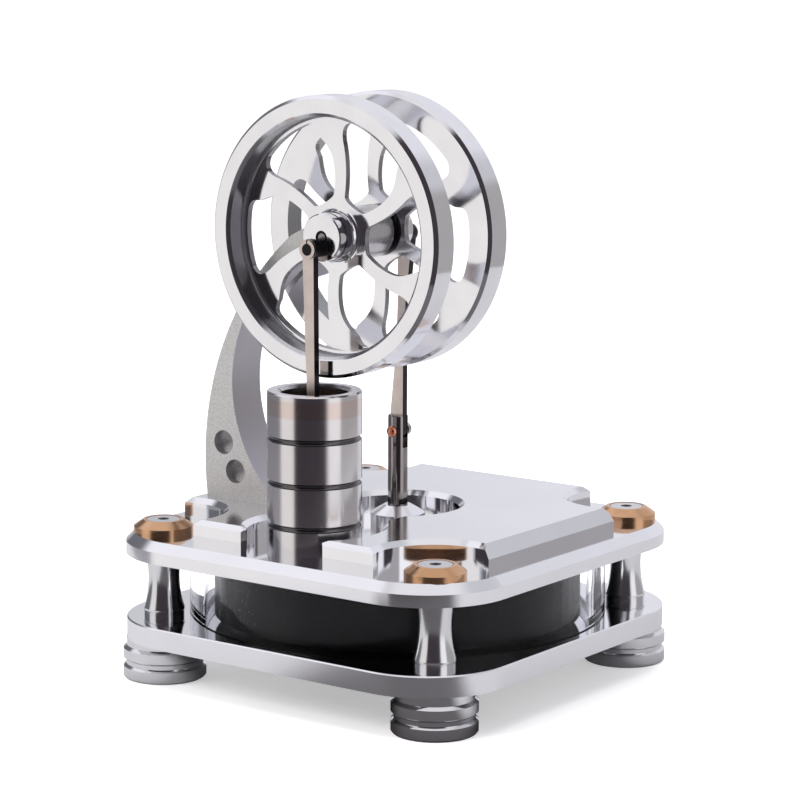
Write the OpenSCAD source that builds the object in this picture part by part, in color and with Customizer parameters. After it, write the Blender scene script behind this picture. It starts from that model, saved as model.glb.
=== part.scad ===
// Low-temperature-difference stirling engine model: a flat hot-air chamber
// between two square plates, a power cylinder, a displacer and twin flywheels.
// Units are millimetres, +Z is up, the feet stand on Z = 0.

/* [Base] */
// Side length of both square plates
plate_side = 105; // [90:0.5:130]
// Corner radius of the plates
plate_corner_r = 21; // [8:0.5:25]
// Thickness of each plate
plate_t = 5; // [3:0.5:8]
// Distance between neighbouring corner screws
bolt_square = 80; // [60:0.5:90]
// Height of the feet
foot_h = 10; // [6:0.5:15]
// Outer radius of the feet
foot_r = 9.95; // [7:0.05:12]
// Clear height between the two plates
pillar_h = 15.5; // [12:0.5:25]

/* [Deck block] */
// Side length of the raised block on the upper plate
block_side = 90; // [70:0.5:95]
// Height of the raised block above the plate
block_h = 5.3; // [3:0.1:8]
// Radius of the concave corner reliefs around the screws
relief_r = 14.5; // [10:0.1:18]
// Radius of the pocket around the rod gland
gland_pocket_r = 15; // [9:0.1:17]
// Radius of the pocket around the power cylinder
cylinder_pocket_r = 16; // [12.5:0.1:17]
// Width of the slot from the cylinder pocket to the block's front face
slot_w = 21.6; // [10:0.1:26]

/* [Chamber] */
// Outer radius of the clear chamber ring
ring_ro = 50.3; // [45:0.1:50.5]
// Inner radius of the clear chamber ring
ring_ri = 46.6; // [42:0.1:48]
// Depth of the chamber recess in each plate
recess_d = 2.4; // [1.5:0.1:3]
// Radius of the displacer disc
displacer_r = 44.3; // [38:0.1:45.5]
// Thickness of the displacer disc
displacer_t = 13.2; // [8:0.1:13.4]

/* [Power cylinder] */
// Outer radius of the power cylinder
cylinder_r = 11.06; // [9:0.01:12]
// Height of the power cylinder above the plate
cylinder_h = 37.25; // [25:0.05:45]
// Bore radius of the power cylinder
bore_r = 8; // [6:0.05:9]
// Distance of the cylinder axis from the centre of the base
cylinder_y = 32.5; // [28:0.5:36]

/* [Crank and flywheels] */
// Height of the axle above the table
axle_z = 107.7; // [95:0.1:120]
// Crank throw of both crank pins
throw_r = 2.75; // [1.5:0.05:3]
// Outer radius of the flywheels
wheel_r = 32.6; // [25:0.1:34]
// Width of the flywheel rims
wheel_w = 7.4; // [6:0.1:7.4]
// Angle of the power crank pin at rest, seen from the cylinder side
power_pin_deg = 245; // [0:1:359]

/* [Hidden] */
$fn = 96;
slip = 0.05;
eps = 0.01;
m4_r = 2;
half_bolt = bolt_square / 2;
lower_z = foot_h;
lower_top = lower_z + plate_t;
upper_z = lower_top + pillar_h;
deck_z = upper_z + plate_t;
block_top = deck_z + block_h;
chamber_floor = lower_top - recess_d;
chamber_roof = upper_z + 2.9;
deck_break = [2.1, 2.1];
base_break = [0.3, 0.3];
block_break = 1.2;
slot_break = 1.7;
bevel = [2, 3.2];
washer_r = 7.1;
pillar_r = 4.9;
waist_r = 3.77;
waist_z = 9.5;
waist_curve = 26;
groove_r = 0.7;
groove_d = 0.5;
cyl = [0, -cylinder_y];
// corners as [x, y], in the order front left, front right, back left, back right
corners = [[-1, -1], [1, -1], [-1, 1], [1, 1]] * half_bolt;

// flywheel stations along Y
front_face_y = -29.9;
front_back_y = front_face_y + wheel_w;
rear_front_y = -8.8;
rear_back_y = rear_front_y + wheel_w;
web_t = 1.55;
web_r = 27;
window_r = 26.7;
rim_face_r = 28.5;
rim_wall_r = 27.7;
rim_mouth = 0.8;
rim_fillet = 0.9;
rim_break = 0.85;
rim_back_break = 0.75;
hub_r = 5.6;
hub_foot_r = 7.4;
hub_fillet = 1.2;
grub_z = 3.35;
disc_r = 5.5;
disc_t = 2.5;
hub_h = wheel_w - disc_t;
axle_r = 1.5;
axle_tip_r = 1;
ring_recess_r = 1.65;
ring_recess_d = 1.3;
crank_pin_r = 1;
// bearing arm stations along Y
arm_y0 = -20.8;
arm_y1 = -10.2;
boss_r = 6.2;
drill_r = 2.95;
drill_d = 2.2;
race_r = 4;
race_w = 3;
race_ri = 3.3;
ball_orbit = 2.75;
ball_r = 0.5;
balls = 8;
// crank pins in the XZ plane, the displacer pin leads by a quarter turn
power_pin = [throw_r * cos(power_pin_deg), axle_z + throw_r * sin(power_pin_deg)];
disp_pin_deg = power_pin_deg + 90;
disp_pin = [throw_r * cos(disp_pin_deg), axle_z + throw_r * sin(disp_pin_deg)];
// power rod
rod_t = 1.8;
rod_len = 52;
rod_pin_r = 1.35;
foot_at = [0, power_pin[1] - sqrt(rod_len * rod_len - power_pin[0] * power_pin[0])];
gudgeon_r = 1.25;
piston_r = bore_r - slip;
piston_z = 42;
piston_h = 16;
// displacer rod and link
shaft_r = 2.4;
gland_bore_r = 2.95;
fork_top = 62.5;
clevis_z = 58.6;
fork_slot = 2;
link_t = 1.8;
clevis_r = 1;
link_len = norm([disp_pin[0], disp_pin[1] - clevis_z]);
link_lean = atan(disp_pin[0] / (disp_pin[1] - clevis_z));
disc_z0 = 15.4;

aluminium = [0.88, 0.88, 0.9];
steel = [0.62, 0.62, 0.64];
warm_steel = [0.78, 0.69, 0.64];
copper_gold = [0.8, 0.55, 0.3];
copper_red = [0.78, 0.35, 0.22];
cast_grey = [0.7, 0.7, 0.69];
dark = [0.06, 0.06, 0.07];
clear = [0.9, 0.94, 0.96, 0.35];
bronze = [0.66, 0.5, 0.28];

// point on a cubic curve through four control points
function curve_point(c, t) =
    pow(1 - t, 3) * c[0] + 3 * t * pow(1 - t, 2) * c[1]
    + 3 * t * t * (1 - t) * c[2] + pow(t, 3) * c[3];
// points along a cubic curve, without its last one
function curve(c, n) = [for (i = [0 : n - 1]) curve_point(c, i / n)];
// 2D points turned by an angle about the origin
function turned(pts, a) =
    [for (p = pts) [p[0] * cos(a) - p[1] * sin(a), p[0] * sin(a) + p[1] * cos(a)]];

// a cylinder along Y from y0 to y1 about a point in the XZ plane
module rod_y(r, y0, y1, at = [0, 0]) {
    translate([at[0], y1, at[1]]) rotate([90, 0, 0]) cylinder(r = r, h = y1 - y0);
}

// a plate cut from a 2D outline in the XZ plane, between y0 and y1
module plate_y(y0, y1) {
    translate([0, y1, 0]) rotate([90, 0, 0]) linear_extrude(y1 - y0) children();
}

// a copy of the children at each corner screw
module at_corners() {
    for (c = corners) translate([c[0], c[1], 0]) children();
}

// the outline of a slab's side, its upper edge broken by brk = [width, height]
module slab_profile(side, h, brk) {
    polygon([[-side / 2, 0], [side / 2, 0], [side / 2, h - brk[1]], [side / 2 - brk[0], h],
        [brk[0] - side / 2, h], [-side / 2, h - brk[1]]]);
}

// a square slab with round corners and a broken upper edge
module slab(side, rc, h, brk) {
    straight = side - 2 * rc;
    for (a = [0, 90])
        rotate([0, 0, a]) rotate([90, 0, 0]) linear_extrude(straight, center = true)
            slab_profile(side, h, brk);
    for (sx = [-1, 1], sy = [-1, 1]) translate([sx, sy, 0] * straight / 2) {
        cylinder(r = rc, h = h - brk[1]);
        translate([0, 0, h - brk[1]]) cylinder(r1 = rc, r2 = rc - brk[0], h = brk[1]);
    }
}

// a cutter that breaks the block's upper edge on +X by brk = [width, height]
module edge_cutter(brk) {
    rotate([90, 0, 0]) linear_extrude(plate_side, center = true)
        polygon([[block_side / 2 - brk[0], block_top + eps],
            [block_side / 2 + eps, block_top - brk[1]],
            [block_side / 2 + eps, block_top + eps]]);
}

// a cone that breaks the upper edge of a round relief of radius r
module relief_break(r) {
    translate([0, 0, block_top - block_break])
        cylinder(r1 = r, r2 = r + block_break, h = block_break);
}

// the block's pocket outline around the gland and the cylinder
module pocket_outline(grow) {
    circle(r = gland_pocket_r + grow);
    translate(cyl) circle(r = cylinder_pocket_r + grow);
    translate([-slot_w / 2 - grow, -cylinder_y]) square([slot_w + 2 * grow, cylinder_y]);
}

module lower_plate() color(aluminium) difference() {
    translate([0, 0, lower_z]) slab(plate_side, plate_corner_r, plate_t, base_break);
    translate([0, 0, chamber_floor]) cylinder(r = ring_ri, h = plate_t);
    translate([0, 0, lower_top - 1]) cylinder(r = ring_ro + slip, h = plate_t);
    at_corners() translate([0, 0, lower_z - 1]) cylinder(r = m4_r + 0.15, h = plate_t + 2);
}

// one foot: two bevelled tiers under a narrower neck, counterbored below
module foot(i) color(steel) translate([corners[i][0], corners[i][1], 0]) rotate_extrude()
    polygon([[4.2, 0], [foot_r - 0.4, 0], [foot_r, 0.5], [foot_r, 2.9], [foot_r - 0.65, 3.5],
        [foot_r - 0.65, 4.4], [foot_r, 5], [foot_r, 7.3], [foot_r - 0.85, 8],
        [foot_r - 0.85, foot_h], [m4_r + 0.15, foot_h], [m4_r + 0.15, 4], [4.2, 4]]);

module foot_screws() color(steel) at_corners() difference() {
    union() {
        translate([0, 0, 0.9]) cylinder(r = 3.5, h = 3.1);
        translate([0, 0, 4 - eps]) cylinder(r = m4_r, h = 19);
    }
    translate([0, 0, 0.4]) cylinder(r = 1.73, h = 2.1, $fn = 6);
}

// one waisted pillar with a land at its foot, tapped from both ends
module pillar(i) color(steel) translate([corners[i][0], corners[i][1], lower_top]) difference() {
    union() {
        cylinder(r = pillar_r - 0.1, h = 1.2);
        cylinder(r = pillar_r - 0.35, h = 1.6);
        translate([0, 0, 1.5]) cylinder(r = pillar_r, h = pillar_h - 1.5);
    }
    rotate_extrude() translate([waist_r + waist_curve, waist_z]) circle(r = waist_curve);
    translate([0, 0, -1]) cylinder(r = m4_r + 0.03, h = 9.5);
    translate([0, 0, pillar_h - 6]) cylinder(r = m4_r + 0.03, h = 7);
}

module chamber_ring() color(clear) translate([0, 0, lower_top - 0.7]) difference() {
    cylinder(r = ring_ro, h = pillar_h + 1.4);
    translate([0, 0, -1]) cylinder(r = ring_ri, h = pillar_h + 4);
}

// a flat gasket under or over the chamber ring
module ring_seal(z) color(dark) translate([0, 0, z]) difference() {
    cylinder(r = ring_ro - 0.2, h = 0.3);
    translate([0, 0, -1]) cylinder(r = ring_ri + 0.3, h = 3);
}

module upper_plate() color(aluminium) difference() {
    union() {
        translate([0, 0, upper_z]) slab(plate_side, plate_corner_r, plate_t, deck_break);
        translate([0, 0, deck_z - 1]) linear_extrude(block_h + 1) square(block_side, center = true);
    }
    // concave reliefs around the corner screws, their upper edges broken
    at_corners() {
        translate([0, 0, deck_z]) cylinder(r = relief_r, h = block_h + 1);
        relief_break(relief_r);
        translate([0, 0, upper_z - 1]) cylinder(r = m4_r + 0.15, h = plate_t + 3);
    }
    // broken upper edges of the block, the wide bevel on +X
    edge_cutter(bevel);
    for (a = [90, 180, 270]) rotate([0, 0, a]) edge_cutter([block_break, block_break]);
    // pocket around gland and cylinder, and the slot to the front face
    translate([0, 0, deck_z]) linear_extrude(block_h + 1) pocket_outline(0);
    relief_break(gland_pocket_r);
    translate([cyl[0], cyl[1], 0]) relief_break(cylinder_pocket_r);
    translate([-slot_w / 2, -plate_side / 2, deck_z]) cube([slot_w, 30, block_h + 1]);
    for (x = [-slot_w / 2, slot_w / 2]) translate([x, -block_side / 2, deck_z]) rotate([0, 0, 45])
        translate([-slot_break / 2, -slot_break / 2, 0]) cube([slot_break, slot_break, block_h + 1]);
    // chamber recess, ring seat, gas port, cylinder seat and gland bore
    translate([0, 0, upper_z - 1]) cylinder(r = ring_ri, h = chamber_roof - upper_z + 1);
    translate([0, 0, upper_z - 1]) cylinder(r = ring_ro + slip, h = 2);
    translate([cyl[0], cyl[1], upper_z]) cylinder(r = 3, h = plate_t + 1);
    translate([cyl[0], cyl[1], deck_z - 1.3]) cylinder(r = 9.5, h = 3);
    translate([0, 0, upper_z]) cylinder(r = 4.65, h = plate_t + 1);
    // countersunk holes for the bearing arm's screws
    for (x = [-39, -27]) translate([x, (arm_y0 + arm_y1) / 2, 0]) {
        translate([0, 0, upper_z]) cylinder(r = m4_r + 0.15, h = plate_t + block_h + 1);
        translate([0, 0, chamber_roof - eps]) cylinder(r1 = 4, r2 = m4_r + 0.1, h = 1.9);
    }
}

// one cup washer with a coned flank around a countersunk screw head
module cup_washer(i) color(copper_gold) translate([corners[i][0], corners[i][1], deck_z])
    rotate_extrude()
        polygon([[2.15, 0], [washer_r, 0], [washer_r, 1.45], [4.9, 3], [4.05, 3],
            [4.05, 2.75], [2.15, 0.85]]);

module plate_screws() color(steel) at_corners() translate([0, 0, deck_z]) difference() {
    union() {
        translate([0, 0, 0.85]) cylinder(r1 = m4_r, r2 = 3.9, h = 1.9);
        translate([0, 0, 2.75 - eps]) cylinder(r = 3.9, h = 0.2);
        translate([0, 0, -plate_t - 5]) cylinder(r = m4_r, h = plate_t + 6);
    }
    translate([0, 0, 1.2]) cylinder(r = 1.443, h = 3, $fn = 6);
}

// a tube with three round grooves and a chamfered mouth
module power_cylinder() color(steel) translate([cyl[0], cyl[1], deck_z]) difference() {
    union() {
        translate([0, 0, -0.9]) cylinder(r = 9.45, h = 1);
        cylinder(r = cylinder_r, h = cylinder_h - 0.35);
        translate([0, 0, cylinder_h - 0.35])
            cylinder(r1 = cylinder_r, r2 = cylinder_r - 0.35, h = 0.35);
    }
    translate([0, 0, -2]) cylinder(r = bore_r, h = cylinder_h + 3);
    translate([0, 0, cylinder_h - 0.8]) cylinder(r1 = bore_r, r2 = bore_r + 0.82, h = 0.82);
    for (z = [6.2, 16.2, 26.5])
        rotate_extrude() translate([cylinder_r + groove_r - groove_d, z]) circle(r = groove_r);
}

module cylinder_seal() color(dark) translate([cyl[0], cyl[1], deck_z - 1.3]) difference() {
    cylinder(r = 9.4, h = 0.4);
    translate([0, 0, -1]) cylinder(r = 8.1, h = 3);
}

// the gland that carries the displacer rod through the plate, a lip over its bush
module rod_gland() color(aluminium) translate([0, 0, chamber_roof]) rotate_extrude()
    polygon([[gland_bore_r, 0], [4.6, 0], [4.6, 2.1], [6.6, 2.1], [6.6, 5.2], [3.3, 7.1],
        [shaft_r + 0.1, 7.1], [shaft_r + 0.1, 6.4], [gland_bore_r, 6.4]]);

module gland_bush() color(bronze) translate([0, 0, chamber_roof + 0.3]) difference() {
    cylinder(r = gland_bore_r - 0.02, h = 6);
    translate([0, 0, -1]) cylinder(r = shaft_r + slip, h = 8);
}

// the crescent and its neck, before the inner arc is cut away
module arm_blank() {
    intersection() {
        rod_y(72.04, arm_y0, arm_y1, [29, 50.2]);
        translate([-60, arm_y0 - 1, block_top]) cube([44, 12.6, 80]);
    }
    plate_y(arm_y0, arm_y1)
        polygon([[-20, 103], [-16, 106.42], [-3.4, 112.88], [0, axle_z], [0, 100], [-20, 98]]);
}

// a crescent between two arcs that carries the bearing housing at its tip
module bearing_arm() color(cast_grey) difference() {
    arm_blank();
    rod_y(34.8, arm_y0 - 1, arm_y1 + 1, [0.4, 69.5]);
    rod_y(boss_r, arm_y0 - 1, arm_y1 + 1, [0, axle_z]);
    // two shallow drilled holes in the foot of the crescent
    for (at = [[-37.2, 54.5], [-33.6, 47.7]]) {
        rod_y(drill_r, arm_y0 - 1, arm_y0 + drill_d, at);
        translate([at[0], arm_y0 + drill_d, at[1]]) rotate([-90, 0, 0])
            cylinder(r1 = drill_r, r2 = 0.1, h = drill_r / 2);
    }
    for (x = [-39, -27]) translate([x, (arm_y0 + arm_y1) / 2, block_top - 1])
        cylinder(r = m4_r + 0.03, h = 5.6);
}

// the turned sleeve that holds both ball bearings
module bearing_housing() color(steel) difference() {
    rod_y(boss_r, arm_y0, arm_y1, [0, axle_z]);
    rod_y(3.5, arm_y0 - 1, arm_y1 + 1, [0, axle_z]);
    rod_y(race_r + 0.02, arm_y0 - 1, arm_y0 + race_w, [0, axle_z]);
    rod_y(race_r + 0.02, arm_y1 - race_w, arm_y1 + 1, [0, axle_z]);
}

module arm_screws() color(steel) for (x = [-39, -27])
    translate([x, (arm_y0 + arm_y1) / 2, chamber_roof]) difference() {
        union() {
            translate([0, 0, 0.1]) cylinder(r1 = 3.8, r2 = m4_r, h = 1.8);
            translate([0, 0, 1.8]) cylinder(r = m4_r, h = 9.6);
        }
        translate([0, 0, -1]) cylinder(r = 1.443, h = 2.2, $fn = 6);
    }

// one bearing race between two radii, starting at y
module race(ri, ro, y) {
    difference() {
        rod_y(ro, y, y + race_w, [0, axle_z]);
        rod_y(ri, y - 1, y + race_w + 1, [0, axle_z]);
    }
}

module bearing_outer_races() color(steel)
    for (y = [arm_y0, arm_y1 - race_w]) race(race_ri, race_r, y);

module bearing_balls() color(steel) for (y = [arm_y0, arm_y1 - race_w], i = [0 : balls - 1])
    translate([ball_orbit * cos(i * 360 / balls), y + race_w / 2,
        axle_z + ball_orbit * sin(i * 360 / balls)]) sphere(r = ball_r);

module bearing_inner_races() color(steel)
    for (y = [arm_y0, arm_y1 - race_w]) race(axle_r + 0.02, 2.2, y);

module axle_collars() color(dark) difference() {
    union() {
        rod_y(2.1, front_back_y, arm_y0, [0, axle_z]);
        rod_y(2.1, arm_y0 + race_w, arm_y1 - race_w, [0, axle_z]);
        rod_y(2.1, arm_y1, rear_front_y, [0, axle_z]);
    }
    rod_y(axle_r + 0.02, -40, 0, [0, axle_z]);
}

// the axle, stepped down inside the recess of each crank disc
module axle() color(steel) {
    rod_y(axle_r, front_face_y + ring_recess_d + 0.1, rear_back_y - ring_recess_d - 0.1,
        [0, axle_z]);
    rod_y(axle_tip_r, front_face_y + 0.15, rear_back_y - 0.15, [0, axle_z]);
}

// the black rings in the recesses round both axle ends
module axle_rings() color(dark) difference() {
    union() {
        rod_y(ring_recess_r - 0.05, front_face_y + 0.35, front_face_y + ring_recess_d, [0, axle_z]);
        rod_y(ring_recess_r - 0.05, rear_back_y - ring_recess_d, rear_back_y - 0.35, [0, axle_z]);
    }
    rod_y(axle_tip_r + 0.02, front_face_y - 1, rear_back_y + 1, [0, axle_z]);
}

// one window between two swept spokes, as a closed outline
module window_outline() {
    right_edge = [[2.3, 9.2], [2.9, 13], [2.9, 18], [1.8, 22]];
    right_corner = [[1.8, 22], [1.3, 24.6], [2.2, 26.3], [4.78, 26.27]];
    left_corner = turned([[-9.55, 24.93], [-7.2, 25.8], [-6.5, 25], [-5.5, 23.1]], -60);
    left_flare = turned([[-5.5, 23.1], [-3.4, 21.2], [-1.3, 20], [-0.7, 16]], -60);
    left_edge = turned([[-0.7, 16], [-0.3, 13.4], [-0.5, 11], [-0.9, 9.4]], -60);
    foot_curve = [left_edge[3], [6.9, 5.3], [2, 7.9], right_edge[0]];
    rim_arc = [for (i = [0 : 7]) let (a = 79.7 - i * 3.9)
        [cos(a), sin(a)] * window_r];
    polygon(concat(curve(right_edge, 8), curve(right_corner, 6), rim_arc,
        curve(left_corner, 6), curve(left_flare, 8), curve(left_edge, 6),
        curve(foot_curve, 10)));
}

// points on the quarter arc of a concave fillet of radius r about c
function fillet(c, r, a0, a1) =
    [for (i = [0 : 6]) let (a = a0 + (a1 - a0) * i / 6) c + r * [cos(a), sin(a)]];

// the rim's cross-section, its flat side on the axis of r
module rim_section() {
    polygon(concat([[rim_wall_r - rim_fillet, 0], [wheel_r - rim_back_break, 0],
        [wheel_r, rim_back_break], [wheel_r, wheel_w - rim_break],
        [wheel_r - rim_break, wheel_w], [rim_face_r, wheel_w],
        [rim_wall_r, wheel_w - rim_mouth]],
        fillet([rim_wall_r - rim_fillet, web_t + rim_fillet], rim_fillet, 0, -90)));
}

// the hub's cross-section, flared where it meets the web
module hub_section() {
    polygon(concat([[0, 0], [hub_foot_r, 0], [hub_r + hub_fillet, web_t]],
        fillet([hub_r + hub_fillet, web_t + hub_fillet], hub_fillet, -98, -180),
        [[hub_r, hub_h], [0, hub_h]]));
}

// one flywheel lying on its flat side, hub and recess towards +Z
module flywheel() {
    difference() {
        union() {
            rotate_extrude() rim_section();
            linear_extrude(web_t) difference() {
                circle(r = web_r);
                for (i = [0 : 5]) rotate([0, 0, 60 * i]) window_outline();
            }
            rotate_extrude() hub_section();
        }
        translate([0, 0, -1]) cylinder(r = axle_r + 0.02, h = hub_h + 2);
        translate([0, 0, grub_z]) rotate([-90, 0, 0]) cylinder(r = 0.9, h = hub_r + 3);
    }
}

module flywheel_front() color(aluminium)
    translate([0, front_back_y, axle_z]) rotate([90, 0, 0]) flywheel();

module flywheel_rear() color(aluminium)
    translate([0, rear_front_y, axle_z]) rotate([90, 0, 180]) flywheel();

// a crank disc with a neck, face and counterbore towards +Z, and a hole for its pin
module crank_disc(pin, pin_r) {
    difference() {
        rotate_extrude() polygon([[axle_r + 0.02, 0], [disc_r - 0.4, 0], [disc_r - 0.4, 0.3],
            [disc_r, 0.3], [disc_r, disc_t - 0.25], [disc_r - 0.25, disc_t],
            [ring_recess_r, disc_t], [ring_recess_r, disc_t - ring_recess_d],
            [axle_r + 0.02, disc_t - ring_recess_d]]);
        translate([pin[0], pin[1], -1]) cylinder(r = pin_r, h = disc_t + 3);
    }
}

module crank_disc_front() color(aluminium)
    translate([0, front_back_y - hub_h, axle_z]) rotate([90, 0, 0])
        crank_disc([power_pin[0], power_pin[1] - axle_z], crank_pin_r + 0.02);

module crank_disc_rear() color(aluminium)
    translate([0, rear_front_y + hub_h, axle_z]) rotate([90, 0, 180])
        crank_disc([-disp_pin[0], disp_pin[1] - axle_z], crank_pin_r + 0.02);

// the power crank pin, stepped down where it enters the disc
module crank_pin_front() color(dark) {
    rod_y(crank_pin_r, front_face_y - eps, front_back_y - hub_h - 0.1, power_pin);
    rod_y(rod_pin_r, -cylinder_y - rod_t / 2 - 0.3, front_face_y, power_pin);
}

module crank_pin_rear() color(steel)
    rod_y(crank_pin_r, rear_front_y + hub_h + 0.1, rear_back_y, disp_pin);

module crank_spacer() color(dark) difference() {
    rod_y(2.1, -cylinder_y + rod_t / 2 + 0.2, front_face_y, power_pin);
    rod_y(rod_pin_r + 0.02, -40, 0, power_pin);
}

// a grub screw pointing up at station y
module grub_screw(y) {
    translate([0, y, axle_z + axle_r + 0.1]) difference() {
        cylinder(r = 0.88, h = 3.4);
        translate([0, 0, 2.4]) cylinder(r = 0.52, h = 2, $fn = 6);
    }
}

module grub_screws() color(dark) {
    grub_screw(front_back_y - grub_z);
    grub_screw(rear_front_y + grub_z);
}

// the tapered power rod with an eye at each end
module power_rod() color(warm_steel) {
    y0 = -cylinder_y - rod_t / 2;
    difference() {
        union() {
            plate_y(y0, y0 + rod_t) union() {
                translate(power_pin) circle(r = 2.4);
                translate(foot_at) circle(r = 2.1);
                polygon([power_pin + [-1.6, -1.2], power_pin + [1.6, -1.2],
                    foot_at + [0.85, 1], foot_at + [-0.85, 1]]);
            }
            rod_y(2.2, y0 - 0.4, y0 + eps, power_pin);
        }
        rod_y(rod_pin_r + slip, y0 - 2, y0 + rod_t + 1, power_pin);
        rod_y(gudgeon_r + 0.02, y0 - 1, y0 + rod_t + 1, foot_at);
        translate([power_pin[0] - 0.17, y0 - 1, power_pin[1]]) cube([0.34, rod_t + 2, 4]);
    }
}

module gudgeon_pin() color(steel)
    rod_y(gudgeon_r, -cylinder_y - 2.4, -cylinder_y + 2.4, foot_at);

// a cup piston, open above so the rod can swing in it
module power_piston() color(dark) translate([cyl[0], cyl[1], piston_z]) difference() {
    cylinder(r = piston_r, h = piston_h);
    translate([0, 0, 2.2]) cylinder(r = 6.4, h = piston_h);
    for (z = [5, 10]) translate([0, 0, z]) difference() {
        cylinder(r = piston_r + 1, h = 0.6);
        translate([0, 0, -1]) cylinder(r = piston_r - 0.3, h = 3);
    }
    translate([0, -20, 11.2]) rotate([-90, 0, 0]) cylinder(r = gudgeon_r + 0.02, h = 40);
}

// the two halves of the pin bore's bushes, pressed into the piston skirt
module piston_bosses() color(steel) for (s = [-1, 1])
    translate([0, -cylinder_y + s * 5.45, piston_z + 11.2]) rotate([90, 0, 0])
        cylinder(r = gudgeon_r, h = 4.1, center = true);

// the displacer rod with a forked top end
module displacer_rod() color(steel) difference() {
    union() {
        translate([0, 0, disc_z0 - 0.6]) cylinder(r = shaft_r, h = fork_top - disc_z0 + 0.3);
        translate([0, 0, fork_top - 0.3]) cylinder(r1 = shaft_r, r2 = shaft_r - 0.3, h = 0.3);
    }
    translate([-4, -fork_slot / 2, clevis_z - 4]) cube([8, fork_slot, 12]);
    rod_y(clevis_r + 0.02, -4, 4, [0, clevis_z]);
}

module displacer_disc() color(dark) translate([0, 0, disc_z0]) difference() {
    cylinder(r = displacer_r, h = displacer_t);
    translate([0, 0, -1]) cylinder(r = shaft_r + 0.02, h = displacer_t + 2);
}

module displacer_washer() color(steel)
    translate([0, 0, disc_z0 + displacer_t]) difference() {
        cylinder(r = 6, h = 0.6);
        translate([0, 0, -1]) cylinder(r = shaft_r + 0.02, h = 3);
    }

module displacer_nut() color(steel) translate([0, 0, disc_z0 - 0.8]) difference() {
    cylinder(r = 5, h = 0.8, $fn = 6);
    translate([0, 0, -1]) cylinder(r = shaft_r + 0.02, h = 3);
}

// the fork's pin, its rounded head on the cylinder side
module clevis_pin() color(copper_red) {
    rod_y(clevis_r, -shaft_r - 0.1, shaft_r + 0.9, [0, clevis_z]);
    translate([0, -shaft_r - 0.1, clevis_z]) rotate([90, 0, 0]) rotate_extrude()
        intersection() {
            square([1.35, 1.3]);
            translate([0, -0.35]) circle(r = 1.45);
        }
}

module clevis_collar() color(steel) difference() {
    rod_y(1.6, shaft_r, shaft_r + 1, [0, clevis_z]);
    rod_y(clevis_r + 0.02, 0, 5, [0, clevis_z]);
}

// the displacer link, waisted between its two eyes
module displacer_link() color(warm_steel)
    translate([0, 0, clevis_z]) rotate([0, link_lean, 0]) difference() {
        plate_y(-link_t / 2, link_t / 2) union() {
            circle(r = 2.1);
            translate([0, link_len]) circle(r = 2.4);
            polygon([[-2, 0.6], [2, 0.6], [1.75, 6], [1.05, 20], [1.15, 32],
                [2.1, link_len - 0.8], [-2.1, link_len - 0.8], [-1.15, 32], [-1.05, 20],
                [-1.75, 6]]);
        }
        rod_y(clevis_r + slip, -4, 4);
        rod_y(1.37, -4, 4, [0, link_len]);
    }

module link_pin() color(steel)
    translate([0, 0, clevis_z]) rotate([0, link_lean, 0]) {
        rod_y(1.35, -link_t / 2, link_t / 2 + eps, [0, link_len]);
        rod_y(2, link_t / 2, link_t / 2 + 0.9, [0, link_len]);
    }

lower_plate();
foot(0);  // foot_fl
foot(1);  // foot_fr
foot(2);  // foot_bl
foot(3);  // foot_br
foot_screws();
pillar(0);  // pillar_fl
pillar(1);  // pillar_fr
pillar(2);  // pillar_bl
pillar(3);  // pillar_br
chamber_ring();
ring_seal(lower_top - 1);  // seal_lower
ring_seal(upper_z + 0.7);  // seal_upper
upper_plate();
cup_washer(0);  // cup_washer_fl
cup_washer(1);  // cup_washer_fr
cup_washer(2);  // cup_washer_bl
cup_washer(3);  // cup_washer_br
plate_screws();
power_cylinder();
cylinder_seal();
rod_gland();
gland_bush();
bearing_arm();
bearing_housing();
arm_screws();
bearing_outer_races();
bearing_balls();
axle();
flywheel_front();
flywheel_rear();
crank_disc_front();
crank_disc_rear();
crank_pin_front();
crank_pin_rear();
crank_spacer();
grub_screws();
bearing_inner_races();
axle_collars();
axle_rings();
power_rod();
gudgeon_pin();
power_piston();
piston_bosses();
displacer_rod();
displacer_disc();
displacer_washer();
displacer_nut();
clevis_pin();
clevis_collar();
displacer_link();
link_pin();
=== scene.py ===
"""Looks for the stirling engine model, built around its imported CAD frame.

Every solid shape comes from the CAD nodes, which keep their places and get
procedural materials here.
Units are metres. The cylinder side is -Y and the wide bevel is on +X.
"""
import math

import bpy
from mathutils import Matrix, Vector

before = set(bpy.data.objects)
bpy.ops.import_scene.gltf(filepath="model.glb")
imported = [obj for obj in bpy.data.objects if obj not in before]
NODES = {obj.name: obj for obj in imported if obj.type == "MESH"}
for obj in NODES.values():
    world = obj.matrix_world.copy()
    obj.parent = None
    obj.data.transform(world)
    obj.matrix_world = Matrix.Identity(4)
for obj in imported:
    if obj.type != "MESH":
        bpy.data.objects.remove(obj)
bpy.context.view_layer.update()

MM = 0.001
AXLE_Z = 107.7 * MM
CYLINDER_Y = -32.5 * MM
CORNER = 40 * MM
CLEVIS_Z = 58.6 * MM

# Heights where a plate's finish changes
BLOCK_SATIN_FROM = 40.8 * MM
UPPER_SIDES_TO = 35.5 * MM
LOWER_SIDES_TO = 15.1 * MM

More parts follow.
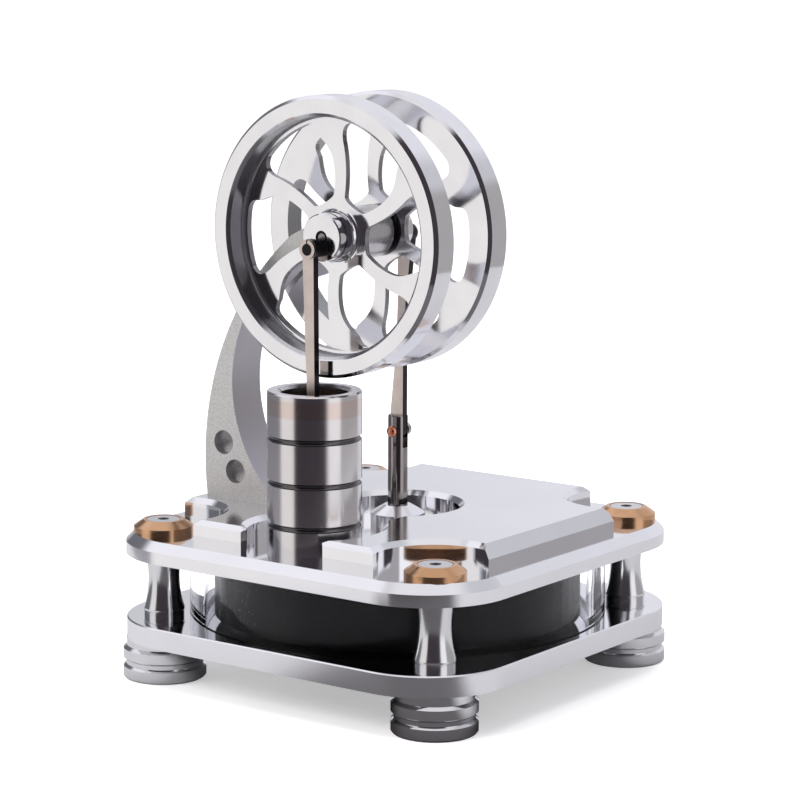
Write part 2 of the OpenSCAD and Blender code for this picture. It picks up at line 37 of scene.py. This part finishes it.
# Patches of the sky: azimuth, half width, low, high and edge in degrees, then the colour.
# Azimuth 0 is towards -Y and 90 towards +X. A later patch covers an earlier one.
SKY_PATCHES = (
    (190, 28, -40, 55, 6, (0.80, 0.80, 0.86)),
    (-88, 33, 35, 62, 5, (0.95, 0.94, 1.0)),
    (-88, 33, -12, 35, 5, (0.16, 0.16, 0.18)),
    (-31, 19, -60, 55, 3, (0.90, 0.875, 0.865)),
    (27, 39, -44, 60, 3, (0.05, 0.042, 0.05)),
    (88, 17, -14, 58, 3, (1.05, 1.03, 1.05)),
    (135, 31, -24, 20, 3, (0.41, 0.395, 0.405)),
    (0, 181, 62, 90, 6, (0.84, 0.83, 0.86)),
)

# Share of the metal's colour left in a stained band, then in a groove and in a wheel's recess,
# where the darkening is painted shade
STAIN_TONE = (0.95, 0.84, 0.78)
GROOVE_PAINTED_SHADE = 0.16
RECESS_PAINTED_SHADE = 0.4

# Where those marks lie: heights, then radii with a top height, then radii
STAIN_BAND = (67.4 * MM, 71.4 * MM)
STAIN_BLUR = 0.4 * MM
GROOVE_BAND = (9.5 * MM, 11.03 * MM, 70 * MM)
RECESS_RADII = (7.5 * MM, 28.4 * MM)
RECESS_ROUGHER = 0.17


# ---------------------------------------------------------------- node nets

class Net:
    """Short calls for building one node tree."""

    def __init__(self, tree):
        self.tree = tree
        tree.nodes.clear()

    def put(self, socket, value):
        if isinstance(value, bpy.types.NodeSocket):
            self.tree.links.new(value, socket)
        else:
            socket.default_value = value

    def node(self, kind, settings=None, **inputs):
        made = self.tree.nodes.new("ShaderNode" + kind)
        for key, value in (settings or {}).items():
            setattr(made, key, value)
        for key, value in inputs.items():
            self.put(made.inputs[key.replace("_", " ")], value)
        return made

    def math(self, op, *values):
        made = self.tree.nodes.new("ShaderNodeMath")
        made.operation = op
        for socket, value in zip(made.inputs, values):
            self.put(socket, value)
        return made.outputs[0]

    def ramp(self, value, low, high, to_low=0.0, to_high=1.0):
        made = self.tree.nodes.new("ShaderNodeMapRange")
        made.interpolation_type = "SMOOTHSTEP"
        for name, number in (("Value", value), ("From Min", low), ("From Max", high),
                             ("To Min", to_low), ("To Max", to_high)):
            self.put(made.inputs[name], number)
        return made.outputs["Result"]

    def mix(self, factor, a, b):
        made = self.tree.nodes.new("ShaderNodeMix")
        made.data_type = "RGBA"
        self.put(made.inputs["Factor"], factor)
        for socket, value in ((made.inputs[6], a), (made.inputs[7], b)):
            linked = isinstance(value, bpy.types.NodeSocket)
            self.put(socket, value if linked else rgba(value))
        return made.outputs[2]

    def noise(self, vector, scale, detail=3.0, rough=0.55):
        made = self.node("TexNoise", Scale=scale, Detail=detail, Roughness=rough)
        self.put(made.inputs["Vector"], vector)
        return made.outputs["Fac"]

    def lines(self, w, scale):
        """Noise along one number, for turned or drawn lines."""
        made = self.node("TexNoise", {"noise_dimensions": "1D"}, Scale=scale, Detail=2.0)
        self.put(made.inputs["W"], w)
        return made.outputs["Fac"]

    def bump(self, height, distance, strength=1.0, normal=None):
        made = self.node("Bump", Strength=strength, Distance=distance, Height=height)
        if normal is not None:
            self.put(made.inputs["Normal"], normal)
        return made.outputs["Normal"]


def rgba(colour):
    return (colour[0], colour[1], colour[2], 1.0)


def new_net(name):
    material = bpy.data.materials.new(name)
    material.use_nodes = True
    net = Net(material.node_tree)
    shader = net.node("BsdfPrincipled")
    out = net.node("OutputMaterial")
    net.tree.links.new(shader.outputs[0], out.inputs["Surface"])
    return material, net, shader


def axis_coords(net, axis, centre, folded):
    """Position, distance along the axis and distance from it. Folded, the four corners
    share the axis of the one at +X +Y."""
    place = net.node("TexCoord").outputs["Object"]
    split = net.node("SeparateXYZ", Vector=place)
    x, y, z = split.outputs
    if folded:
        x = net.math("ABSOLUTE", x)
        y = net.math("ABSOLUTE", y)
    if axis == "Z":
        u = net.math("SUBTRACT", x, centre[0])
        v = net.math("SUBTRACT", y, centre[1])
        along = z
    else:
        u = net.math("SUBTRACT", x, centre[0])
        v = net.math("SUBTRACT", z, centre[1])
        along = y
    out = net.math("SQRT", net.math("ADD", net.math("MULTIPLY", u, u),
                                    net.math("MULTIPLY", v, v)))
    return place, along, out


def edge_mask(net):
    """One on faces that look away from Y, the axle's direction, and zero on faces across it."""
    facing = net.node("SeparateXYZ", Vector=net.node("NewGeometry").outputs["True Normal"])
    return net.ramp(net.math("ABSOLUTE", facing.outputs["Y"]), 0.8, 0.6)


def turned_metal(name, colour, rough, axis="Z", centre=(0.0, 0.0), folded=False,
                 pitch=0.12 * MM, depth=0.0012 * MM, smudge=0.05, tint=None, dents=4.0,
                 stained=None, grooves=None, dull_and_shaded_between=None):
    """Metal off a lathe: fine rings round an axis, with smudges and small dents over them.
    Between the two heights of stained the metal is warmer and duller. Grooves are (inner
    radius, outer radius, top) and are darkened with painted shade. Between the two radii of
    the last argument the faces not square to the axis are rougher, as machined, and darker with
    painted shade."""
    material, net, shader = new_net(name)
    place, along, out = axis_coords(net, axis, centre, folded)
    rings = net.lines(net.math("ADD", along, out), 1 / pitch)
    broad = net.noise(place, 140.0, 4.0)
    fine = net.noise(place, 2600.0, 2.0)
    worn = net.math("ADD", net.math("MULTIPLY", broad, smudge),
                    net.math("MULTIPLY", rings, rough * 0.5))
    roughness = net.math("ADD", worn, rough * 0.75 - smudge * 0.4)
    dark = [c * 0.95 for c in colour] if tint is None else tint
    tone = net.mix(net.ramp(broad, 0.3, 0.7), dark, colour)
    if stained is not None:
        low, high = stained
        stain = net.math("MULTIPLY", net.ramp(along, low - STAIN_BLUR, low + STAIN_BLUR),
                         net.ramp(along, high + STAIN_BLUR, high - STAIN_BLUR))
        tone = net.mix(stain, tone, [c * t for c, t in zip(colour, STAIN_TONE)])
    if grooves is not None:
        # Painted shade: the grooves are darkened in the base colour.
        inner, outer, top = grooves
        groove_shade = net.math("MULTIPLY", net.ramp(out, inner, inner + 0.1 * MM),
                       net.ramp(out, outer, outer - 0.15 * MM))
        groove_shade = net.math("MULTIPLY", groove_shade, net.ramp(along, top, top - 0.2 * MM))
        tone = net.mix(groove_shade, tone, [c * GROOVE_PAINTED_SHADE for c in colour])
    if dull_and_shaded_between is not None:
        # Painted shade: the recess walls and window edges are darkened in the base colour; the
        # added roughness is their machined finish.
        inner, outer = dull_and_shaded_between
        dull_and_shade = net.math("MULTIPLY", net.ramp(out, inner, inner + 1 * MM),
                        net.ramp(out, outer, outer - 0.2 * MM))
        dull_and_shade = net.math("MULTIPLY", dull_and_shade, edge_mask(net))
        tone = net.mix(dull_and_shade, tone, [c * RECESS_PAINTED_SHADE for c in colour])
        roughness = net.math("ADD", roughness, net.math("MULTIPLY", dull_and_shade, RECESS_ROUGHER))
    net.put(shader.inputs["Roughness"], roughness)
    net.put(shader.inputs["Base Color"], tone)
    normal = net.bump(rings, depth)
    normal = net.bump(fine, depth * 0.4, normal=normal)
    normal = net.bump(broad, depth * dents, normal=normal)
    net.put(shader.inputs["Normal"], normal)
    shader.inputs["Metallic"].default_value = 1.0
    return material


def milled_metal(name, colour, rough, satin_sides_to, satin_rough, satin_from=None):
    """Milled and polished plate: drawn grain one way and slow waviness. Level faces above
    satin_from are satin, and so is everything but level faces below satin_sides_to."""
    material, net, shader = new_net(name)
    place = net.node("TexCoord").outputs["Object"]
    drawn = net.node("Mapping")
    net.put(drawn.inputs["Vector"], place)
    drawn.inputs["Scale"].default_value = (1.0, 14.0, 1.0)
    hair = net.noise(drawn.outputs[0], 900.0, 3.0)
    wave = net.noise(place, 60.0, 2.0)
    grit = net.noise(place, 5200.0, 2.0)
    height = net.node("SeparateXYZ", Vector=place).outputs["Z"]
    facing = net.node("SeparateXYZ", Vector=net.node("NewGeometry").outputs["True Normal"])
    level = net.ramp(net.math("ABSOLUTE", facing.outputs["Z"]), 0.9, 0.99)
    satin = net.math("MULTIPLY", net.math("SUBTRACT", 1.0, level),
                     net.ramp(height, satin_sides_to + 0.1 * MM, satin_sides_to - 0.1 * MM))
    if satin_from is not None:
        top = net.math("MULTIPLY", level,
                       net.ramp(height, satin_from - 0.2 * MM, satin_from - 0.05 * MM))
        satin = net.math("ADD", satin, top)
    polished = net.math("ADD", net.math("MULTIPLY", hair, rough * 0.6),
                        net.math("MULTIPLY", wave, rough * 0.5))
    polished = net.math("ADD", polished, rough * 0.45)
    soft = net.math("ADD", net.math("MULTIPLY", grit, 0.08), satin_rough - 0.04)
    picked = net.tree.nodes.new("ShaderNodeMix")
    picked.data_type = "FLOAT"
    net.put(picked.inputs[0], satin)
    net.put(picked.inputs[2], polished)
    net.put(picked.inputs[3], soft)
    net.put(shader.inputs["Roughness"], picked.outputs[0])
    normal = net.bump(wave, 0.008 * MM)
    normal = net.bump(hair, 0.0007 * MM, normal=normal)
    normal = net.bump(net.math("MULTIPLY", grit, satin), 0.003 * MM, normal=normal)
    net.put(shader.inputs["Base Color"],
            net.mix(net.ramp(wave, 0.3, 0.7), [c * 0.97 for c in colour], colour))
    net.put(shader.inputs["Normal"], normal)
    shader.inputs["Metallic"].default_value = 1.0
    return material


def blasted_metal(name, colour, edge_colour, rough):
    """Sandblasted face with close pits and faint specks, smoother round its curved edges."""
    material, net, shader = new_net(name)
    place = net.node("TexCoord").outputs["Object"]
    pits = net.noise(place, 2200.0, 4.0, 0.7)
    specks = net.noise(place, 3400.0, 2.0, 0.6)
    cloud = net.noise(place, 90.0, 3.0)
    edge = edge_mask(net)
    tone = net.mix(net.ramp(specks, 0.36, 0.66), [c * 0.86 for c in colour],
                   [min(1.0, c * 1.1) for c in colour])
    net.put(shader.inputs["Base Color"], net.mix(edge, tone, edge_colour))
    net.put(shader.inputs["Roughness"],
            net.math("SUBTRACT", net.math("ADD", net.math("MULTIPLY", cloud, 0.12), rough - 0.06),
                     net.math("MULTIPLY", edge, 0.12)))
    relief = net.math("MULTIPLY", pits, net.ramp(edge, 0.0, 1.0, 1.0, 0.15))
    net.put(shader.inputs["Normal"], net.bump(relief, 0.05 * MM, 0.8))
    shader.inputs["Metallic"].default_value = 0.8
    return material


def drawn_steel(name, colour, edge_colour, rough):
    """Flat ground bar: long scratches along its faces, edges coloured near black."""
    material, net, shader = new_net(name)
    place = net.node("TexCoord").outputs["Object"]
    drawn = net.node("Mapping")
    net.put(drawn.inputs["Vector"], place)
    drawn.inputs["Scale"].default_value = (1.0, 1.0, 0.06)
    hair = net.noise(drawn.outputs[0], 4200.0, 3.0)
    broad = net.noise(place, 220.0, 3.0)
    tone = net.mix(net.ramp(broad, 0.3, 0.75), [c * 0.86 for c in colour], colour)
    net.put(shader.inputs["Base Color"], net.mix(edge_mask(net), tone, edge_colour))
    net.put(shader.inputs["Roughness"],
            net.math("ADD", net.math("MULTIPLY", hair, 0.16), rough - 0.08))
    normal = net.bump(hair, 0.004 * MM)
    normal = net.bump(broad, 0.01 * MM, normal=normal)
    net.put(shader.inputs["Normal"], normal)
    shader.inputs["Metallic"].default_value = 1.0
    return material


def dark_solid(name, colour, rough, shine=0.5):
    """Black plastic, rubber or graphite with a fine grain."""
    material, net, shader = new_net(name)
    place = net.node("TexCoord").outputs["Object"]
    grain = net.noise(place, 900.0, 4.0)
    broad = net.noise(place, 120.0, 3.0)
    net.put(shader.inputs["Base Color"],
            net.mix(net.ramp(broad, 0.3, 0.7), [c * 0.8 for c in colour],
                    [c * 1.3 for c in colour]))
    net.put(shader.inputs["Roughness"],
            net.math("ADD", net.math("MULTIPLY", grain, 0.2), rough - 0.1))
    net.put(shader.inputs["Normal"], net.bump(grain, 0.01 * MM))
    shader.inputs["Specular IOR Level"].default_value = shine
    return material


def clear_acrylic(name):
    """Cast acrylic with a faint blue body and polish marks."""
    material, net, shader = new_net(name)
    place = net.node("TexCoord").outputs["Object"]
    haze = net.noise(place, 110.0, 4.0)
    net.put(shader.inputs["Roughness"], net.ramp(haze, 0.3, 0.8, 0.015, 0.06))
    net.put(shader.inputs["Normal"], net.bump(haze, 0.002 * MM))
    shader.inputs["Base Color"].default_value = rgba((0.97, 0.975, 1.0))
    shader.inputs["Transmission Weight"].default_value = 1.0
    shader.inputs["IOR"].default_value = 1.16
    shader.inputs["Specular IOR Level"].default_value = 0.05
    return material


ALUMINIUM = (0.90, 0.90, 0.925)
CHROME = (0.80, 0.80, 0.815)
DARK_STEEL = (0.78, 0.76, 0.765)
COPPER_GOLD = (0.74, 0.455, 0.275)

plate = milled_metal("plate_polished", ALUMINIUM, 0.07, satin_sides_to=UPPER_SIDES_TO,
                     satin_rough=0.13, satin_from=BLOCK_SATIN_FROM)
lower = milled_metal("lower_plate_polished", ALUMINIUM, 0.07, satin_sides_to=LOWER_SIDES_TO,
                     satin_rough=0.2)
gland = turned_metal("gland_turned", ALUMINIUM, 0.17)
foot = turned_metal("foot_turned", CHROME, 0.10, centre=(CORNER, CORNER), folded=True)
pillar = turned_metal("pillar_turned", CHROME, 0.16, centre=(CORNER, CORNER), folded=True)
washer = turned_metal("washer_turned", COPPER_GOLD, 0.22, centre=(CORNER, CORNER), folded=True,
                      pitch=0.2 * MM, depth=0.004 * MM, tint=(0.64, 0.37, 0.20))
screw = turned_metal("screw_turned", (0.74, 0.73, 0.74), 0.26, centre=(CORNER, CORNER),
                     folded=True, pitch=0.2 * MM, depth=0.004 * MM)
steel = turned_metal("small_steel", (0.62, 0.61, 0.62), 0.22, axis="Y", centre=(0.0, AXLE_Z))
housing = turned_metal("housing_steel", (0.66, 0.65, 0.67), 0.26, axis="Y",
                       centre=(0.0, AXLE_Z))
cylinder = turned_metal("cylinder_turned", DARK_STEEL, 0.17, centre=(0.0, CYLINDER_Y),
                        pitch=0.15 * MM, depth=0.0015 * MM, stained=STAIN_BAND,
                        grooves=GROOVE_BAND)
shaft = turned_metal("shaft_polished", (0.34, 0.31, 0.305), 0.1)
wheel = turned_metal("wheel_turned", ALUMINIUM, 0.09, axis="Y", centre=(0.0, AXLE_Z),
                     smudge=0.03, dents=1.5, dull_and_shaded_between=RECESS_RADII)
axle = turned_metal("axle_steel", (0.30, 0.29, 0.30), 0.2, axis="Y", centre=(0.0, AXLE_Z))
bush = turned_metal("bush_bronze", (0.6, 0.42, 0.2), 0.3)
copper = turned_metal("pin_copper", (0.83, 0.33, 0.20), 0.22, axis="Y", centre=(0.0, CLEVIS_Z))
rod = drawn_steel("rod_ground", (0.76, 0.67, 0.62), (0.05, 0.046, 0.05), 0.34)
arm = blasted_metal("arm_blasted", (0.69, 0.68, 0.675), (0.52, 0.505, 0.54), 0.5)
graphite = dark_solid("piston_graphite", (0.05, 0.05, 0.055), 0.42)
black = dark_solid("displacer_black", (0.003, 0.003, 0.004), 0.3, shine=0.04)
rubber = dark_solid("seal_rubber", (0.02, 0.02, 0.021), 0.6, shine=0.2)
blued = dark_solid("blued_steel", (0.006, 0.006, 0.007), 0.35, shine=0.15)
acrylic = clear_acrylic("ring_acrylic")

LOOKS = {
    "lower_plate": lower, "upper_plate": plate, "rod_gland": gland, "gland_bush": bush,
    "chamber_ring": acrylic, "seal_lower": rubber, "seal_upper": rubber,
    "cylinder_seal": rubber, "foot_screws": screw, "plate_screws": screw,
    "arm_screws": screw, "power_cylinder": cylinder, "bearing_arm": arm,
    "bearing_housing": housing, "axle": axle, "displacer_rod": shaft, "displacer_disc": black,
    "power_piston": graphite, "flywheel_front": wheel, "flywheel_rear": wheel,
    "crank_disc_front": wheel, "crank_disc_rear": wheel, "crank_pin_front": blued,
    "crank_spacer": blued, "axle_rings": blued, "grub_screws": blued, "axle_collars": blued,
    "power_rod": rod, "displacer_link": rod, "clevis_pin": copper,
}
for name, node in NODES.items():
    if name.startswith("foot_") and name != "foot_screws":
        look = foot
    elif name.startswith("pillar_"):
        look = pillar
    elif name.startswith("cup_washer_"):
        look = washer
    else:
        look = LOOKS.get(name, steel)
    node.data.materials.clear()
    node.data.materials.append(look)


# ---------------------------------------------------------------- studio

def studio_world():
    """A pale room with its softboxes and dark walls as patches of the sky."""
    world = bpy.data.worlds.new("studio")
    bpy.context.scene.world = world
    world.use_nodes = True
    net = Net(world.node_tree)
    ray = net.node("SeparateXYZ", Vector=net.node("TexCoord").outputs["Generated"])
    x, y, z = ray.outputs
    azimuth = net.math("ARCTAN2", x, net.math("MULTIPLY", y, -1.0))
    elevation = net.math("ARCSINE", z)
    rad = math.radians
    shade = net.mix(net.ramp(elevation, rad(-6), rad(6)), (0.46, 0.45, 0.48), (0.60, 0.60, 0.64))
    for centre, half, low, high, edge, colour in SKY_PATCHES:
        turn = net.math("ABSOLUTE", net.math("WRAP", net.math("SUBTRACT", azimuth, rad(centre)),
                                             math.pi, -math.pi))
        across = net.ramp(turn, rad(half + edge), rad(half - edge))
        above = net.ramp(elevation, rad(low - edge), rad(low + edge))
        below = net.ramp(elevation, rad(high + edge), rad(high - edge))
        inside = net.math("MULTIPLY", across, net.math("MULTIPLY", above, below))
        shade = net.mix(inside, shade, colour)
    back = net.node("Background", Strength=1.0)
    net.put(back.inputs["Color"], shade)
    out = net.node("OutputWorld")
    net.tree.links.new(back.outputs[0], out.inputs["Surface"])


LIGHTS_AIM = (0, 0, 0.05)


def area_light(name, place, size, power, colour):
    data = bpy.data.lights.new(name, "AREA")
    data.shape = "SQUARE"
    data.size = size
    data.energy = power
    data.color = colour
    lamp = bpy.data.objects.new(name, data)
    lamp.location = place
    lamp.rotation_mode = "QUATERNION"
    aim = Vector(LIGHTS_AIM) - Vector(place)
    lamp.rotation_quaternion = aim.to_track_quat("-Z", "Y")
    lamp.visible_glossy = False
    bpy.context.scene.collection.objects.link(lamp)


def pale_floor():
    """White paper that glows a little, so that it stays pale."""
    material, net, shader = new_net("floor_paper")
    place = net.node("TexCoord").outputs["Object"]
    fibre = net.noise(place, 400.0, 3.0)
    shader.inputs["Base Color"].default_value = rgba((0.93, 0.93, 0.935))
    shader.inputs["Emission Color"].default_value = rgba((1.0, 1.0, 1.0))
    shader.inputs["Emission Strength"].default_value = 0.42
    net.put(shader.inputs["Roughness"], net.ramp(fibre, 0.3, 0.7, 0.75, 0.95))
    net.put(shader.inputs["Normal"], net.bump(fibre, 0.02 * MM))
    mesh = bpy.data.meshes.new("floor")
    reach = 12.0
    steps = 6
    line = [reach * (2 * i / steps - 1) for i in range(steps + 1)]
    verts = [(a, b, 0.0) for b in line for a in line]
    wide = steps + 1
    faces = [(i * wide + j, i * wide + j + 1, (i + 1) * wide + j + 1, (i + 1) * wide + j)
             for i in range(steps) for j in range(steps)]
    mesh.from_pydata(verts, [], faces)
    floor = bpy.data.objects.new("floor", mesh)
    mesh.materials.append(material)
    bpy.context.scene.collection.objects.link(floor)
    floor.visible_glossy = False


def near_table():
    """A round patch of the table seen only in reflections, so that low edges mirror it.
    It is dark towards the camera: painted shade where that side of the table lies unlit."""
    reach = 0.235
    middle_x = 0.03
    middle_y = 0.05
    height = 0.1 * MM
    sides = 96
    material, net, shader = new_net("near_table_paper")
    place = net.node("TexCoord").outputs["Object"]
    x, y, z = net.node("SeparateXYZ", Vector=place).outputs
    grain = net.noise(place, 300.0, 2.0)
    azimuth = net.math("ARCTAN2", x, net.math("MULTIPLY", y, -1.0))
    turn = net.math("ABSOLUTE", net.math("SUBTRACT", azimuth, math.radians(27)))
    unlit = net.ramp(turn, math.radians(44), math.radians(30))
    pale = net.mix(grain, (0.50, 0.50, 0.51), (0.54, 0.54, 0.55))
    net.put(shader.inputs["Base Color"], net.mix(unlit, pale, (0.10, 0.095, 0.10)))
    shader.inputs["Roughness"].default_value = 0.9
    angles = [math.tau * i / sides for i in range(sides)]
    rim = [(reach * math.cos(a) + middle_x, reach * math.sin(a) + middle_y, height)
           for a in angles]
    mesh = bpy.data.meshes.new("near_table")
    mesh.from_pydata(rim, [], [tuple(range(sides))])
    mesh.materials.append(material)
    patch = bpy.data.objects.new("near_table", mesh)
    bpy.context.scene.collection.objects.link(patch)
    patch.visible_camera = False
    patch.visible_diffuse = False
    patch.visible_transmission = False
    patch.visible_shadow = False


CAMERA_DEGREES = (36.377, 9.649, 0.193)
CAMERA_PLACE = (0.40290, -0.54615, 0.18131)


def product_camera():
    """A long lens, turned by azimuth, elevation and roll."""
    azimuth, elevation, roll = (math.radians(a) for a in CAMERA_DEGREES)
    back = Vector((math.sin(azimuth) * math.cos(elevation),
                   -math.cos(azimuth) * math.cos(elevation), math.sin(elevation)))
    right = Vector((math.cos(azimuth), math.sin(azimuth), 0.0))
    up = back.cross(right)
    turn_x = math.cos(roll) * right + math.sin(roll) * up
    turn_y = -math.sin(roll) * right + math.cos(roll) * up
    data = bpy.data.cameras.new("camera")
    data.sensor_width = 36.0
    data.lens = 128.98
    data.clip_start = 0.01
    data.clip_end = 60.0
    camera = bpy.data.objects.new("camera", data)
    turn = Matrix((turn_x, turn_y, back)).transposed().to_4x4()
    camera.matrix_world = Matrix.Translation(CAMERA_PLACE) @ turn
    bpy.context.scene.collection.objects.link(camera)
    bpy.context.scene.camera = camera


studio_world()
area_light("top_softbox", (-0.15, 0.1, 1.1), 1.0, 9.0, (1.0, 1.0, 1.0))
area_light("key_softbox", (-0.45, -0.75, 0.65), 0.5, 6.0, (1.0, 0.98, 0.97))
pale_floor()
near_table()
product_camera()
bpy.context.scene.view_settings.view_transform = "Standard"
